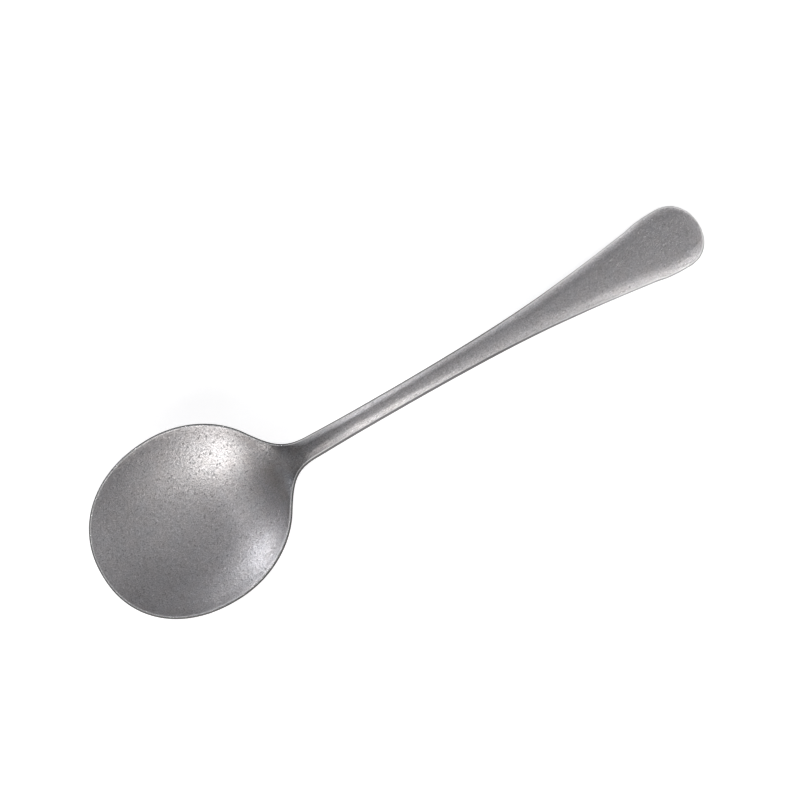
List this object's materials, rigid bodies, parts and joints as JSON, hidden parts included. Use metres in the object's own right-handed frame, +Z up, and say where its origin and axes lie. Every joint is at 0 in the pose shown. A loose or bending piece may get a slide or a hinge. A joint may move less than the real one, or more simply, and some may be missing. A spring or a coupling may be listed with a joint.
{
  "type": "soup spoon",
  "caption": "Round-bowled metal soup spoon in one piece, with a slim stem, a flared handle with a rounded end, and a tumbled matte finish.",
  "frame": {"origin": "on the table, halfway along the spoon and on its middle line", "axes": "+X from the bowl's tip to the handle's end, +Y across, +Z up from the table that the spoon lies on"},
  "size_m": [0.1776, 0.0466, 0.0145],
  "materials": {
    "steel": "tumbled matte, fine random pits and bright flecks"
  },
  "bodies": {
    "root": {"spoon": "steel"}
  },
  "joints": []
}
